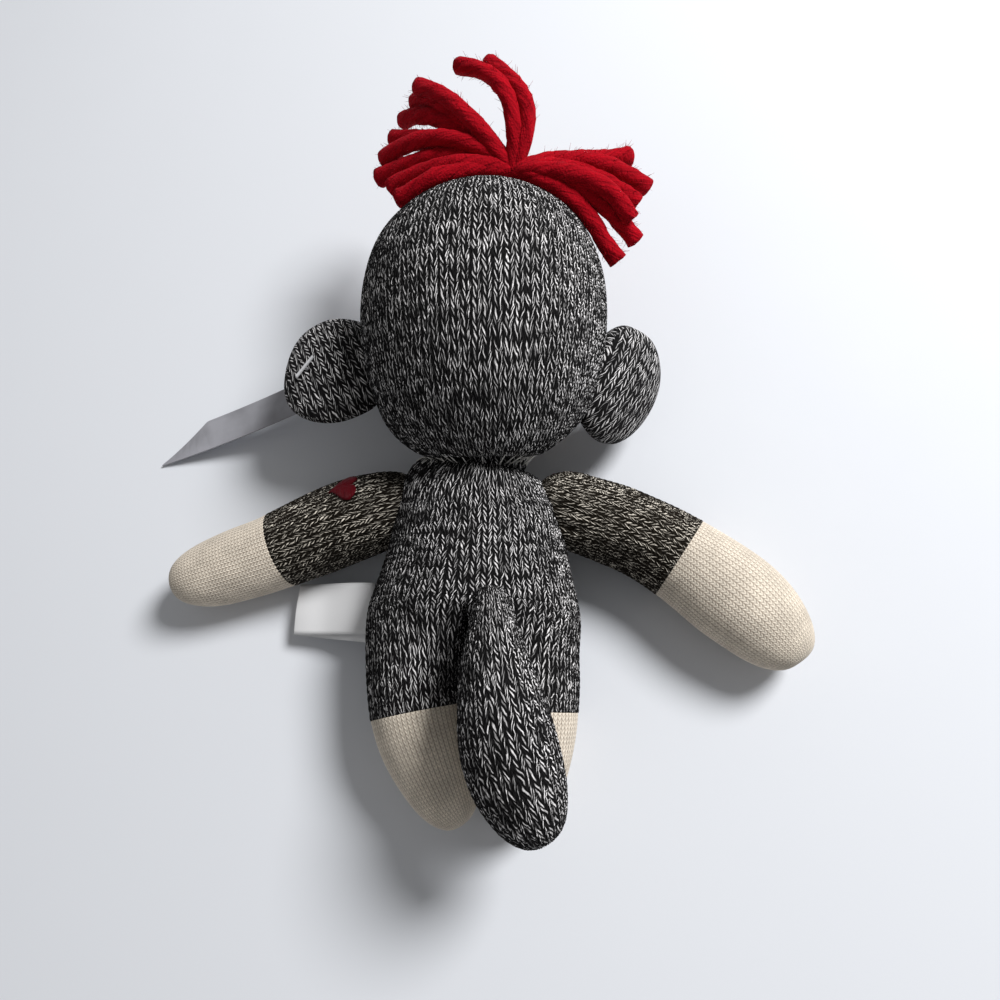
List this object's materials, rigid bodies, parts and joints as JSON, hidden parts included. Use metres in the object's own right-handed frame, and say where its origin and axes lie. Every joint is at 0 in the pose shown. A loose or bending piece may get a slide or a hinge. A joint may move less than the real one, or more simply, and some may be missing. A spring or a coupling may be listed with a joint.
{
  "type": "stuffed doll",
  "caption": "Small knitted sock monkey doll lying face down, with stuffed limbs and ears that flop, a tail, a tuft of red yarn hair, a swing tag and a care label.",
  "frame": {"origin": "centre of the flat that the floor presses into the belly", "axes": "+Z away from the floor, out of the doll's back; +Y towards the head; the doll's left side is at -X"},
  "size_m": [0.2169, 0.2294, 0.0733],
  "materials": {
    "marled": "stockinette knitted from black, grey and white marl yarn",
    "cream": "fine cream stockinette",
    "stuffing": "loose polyester fibre",
    "thread": "sewing thread",
    "red_yarn": "fuzzy crimson acrylic yarn",
    "red_felt": "dark red felt",
    "satin": "white satin ribbon",
    "card": "coated grey card",
    "clear_plastic": "clear nylon",
    "black_plastic": "polished black plastic"
  },
  "bodies": {
    "torso": {"body_cover": "marled", "body_stuffing": "stuffing", "care_label": "satin"},
    "neck": {"neck_gather": "marled", "neck_thread": "thread"},
    "head": {"head_cover": "marled", "head_stuffing": "stuffing", "muzzle_cover": "cream", "muzzle_stuffing": "stuffing", "mouth_stitching": "red_yarn", "left_eye": "black_plastic", "left_eye_washer": "black_plastic", "right_eye": "black_plastic", "right_eye_washer": "black_plastic", "yarn_hair": "red_yarn"},
    "left_ear": {"left_ear_cover": "marled", "left_ear_stuffing": "stuffing", "tag_fastener": "clear_plastic"},
    "right_ear": {"right_ear_cover": "marled", "right_ear_stuffing": "stuffing"},
    "swing_tag": {"hang_tag": "card"},
    "left_shoulder": {"left_shoulder_knot": "thread"},
    "left_arm": {"left_arm_cover": "marled", "left_hand_cover": "cream", "left_arm_stuffing": "stuffing", "heart_patch": "red_felt"},
    "right_shoulder": {"right_shoulder_knot": "thread"},
    "right_arm": {"right_arm_cover": "marled", "right_hand_cover": "cream", "right_arm_stuffing": "stuffing"},
    "left_leg": {"left_leg_cover": "marled", "left_foot_cover": "cream", "left_leg_stuffing": "stuffing"},
    "right_leg": {"right_leg_cover": "marled", "right_foot_cover": "cream", "right_leg_stuffing": "stuffing"},
    "tail_root": {"tail_knot": "thread"},
    "tail": {"tail_cover": "marled", "tail_stuffing": "stuffing"}
  },
  "joints": [
    {"name": "neck_turn", "type": "hinge", "parent": "torso", "child": "neck", "pos_m": [0.004, 0.037, 0.025], "axis": [0.0175, 0.9998, 0], "range_deg": [-45, 45], "stiffness_Nm_per_rad": 0.06},
    {"name": "neck_nod", "type": "hinge", "parent": "neck", "child": "head", "pos_m": [0.004, 0.037, 0.025], "axis": [-0.9998, 0.0175, 0], "range_deg": [-18, 15], "stiffness_Nm_per_rad": 0.2},
    {"name": "left_shoulder_swing", "type": "hinge", "parent": "torso", "child": "left_shoulder", "pos_m": [-0.0265, 0.0285, 0.0195], "axis": [0, 0, 1], "range_deg": [-10, 28], "stiffness_Nm_per_rad": 0.01, "deforming": ["care_label"]},
    {"name": "left_shoulder_lift", "type": "hinge", "parent": "left_shoulder", "child": "left_arm", "pos_m": [-0.0265, 0.0285, 0.0195], "axis": [-0.2419, 0.9703, 0], "range_deg": [-40, 40], "stiffness_Nm_per_rad": 0.02},
    {"name": "right_shoulder_swing", "type": "hinge", "parent": "torso", "child": "right_shoulder", "pos_m": [0.0281, 0.0262, 0.0192], "axis": [0, 0, -1], "range_deg": [-10, 20], "stiffness_Nm_per_rad": 0.01},
    {"name": "right_shoulder_lift", "type": "hinge", "parent": "right_shoulder", "child": "right_arm", "pos_m": [0.0281, 0.0262, 0.0192], "axis": [-0.3746, -0.9272, 0], "range_deg": [-40, 40], "stiffness_Nm_per_rad": 0.02},
    {"name": "left_hip", "type": "hinge", "parent": "torso", "child": "left_leg", "pos_m": [-0.0172, -0.02, 0.0162], "axis": [1, 0, 0], "range_deg": [0, 80], "stiffness_Nm_per_rad": 0.02},
    {"name": "right_hip", "type": "hinge", "parent": "torso", "child": "right_leg", "pos_m": [0.0156, -0.02, 0.0162], "axis": [1, 0, 0], "range_deg": [0, 80], "stiffness_Nm_per_rad": 0.02},
    {"name": "tail_swing", "type": "hinge", "parent": "torso", "child": "tail_root", "pos_m": [0.008, -0.007, 0.042], "axis": [0, 0, 1], "range_deg": [-25, 25], "stiffness_Nm_per_rad": 0.005},
    {"name": "tail_lift", "type": "hinge", "parent": "tail_root", "child": "tail", "pos_m": [0.008, -0.007, 0.042], "axis": [-0.9848, -0.1736, 0], "range_deg": [0, 75], "stiffness_Nm_per_rad": 0.008},
    {"name": "left_ear_fold", "type": "hinge", "parent": "head", "child": "left_ear", "pos_m": [-0.0362, 0.0742, 0.03], "axis": [-0.1908, 0.9816, 0], "range_deg": [-35, 35], "stiffness_Nm_per_rad": 0.005},
    {"name": "right_ear_fold", "type": "hinge", "parent": "head", "child": "right_ear", "pos_m": [0.0452, 0.069, 0.0335], "axis": [-0.5446, -0.8387, 0], "range_deg": [-12, 50], "stiffness_Nm_per_rad": 0.005},
    {"name": "tag_swing", "type": "hinge", "parent": "left_ear", "child": "swing_tag", "pos_m": [-0.05278, 0.07302, 0.01957], "axis": [-0.1994, 0.9799, 0], "range_deg": [-10, 35]}
  ]
}
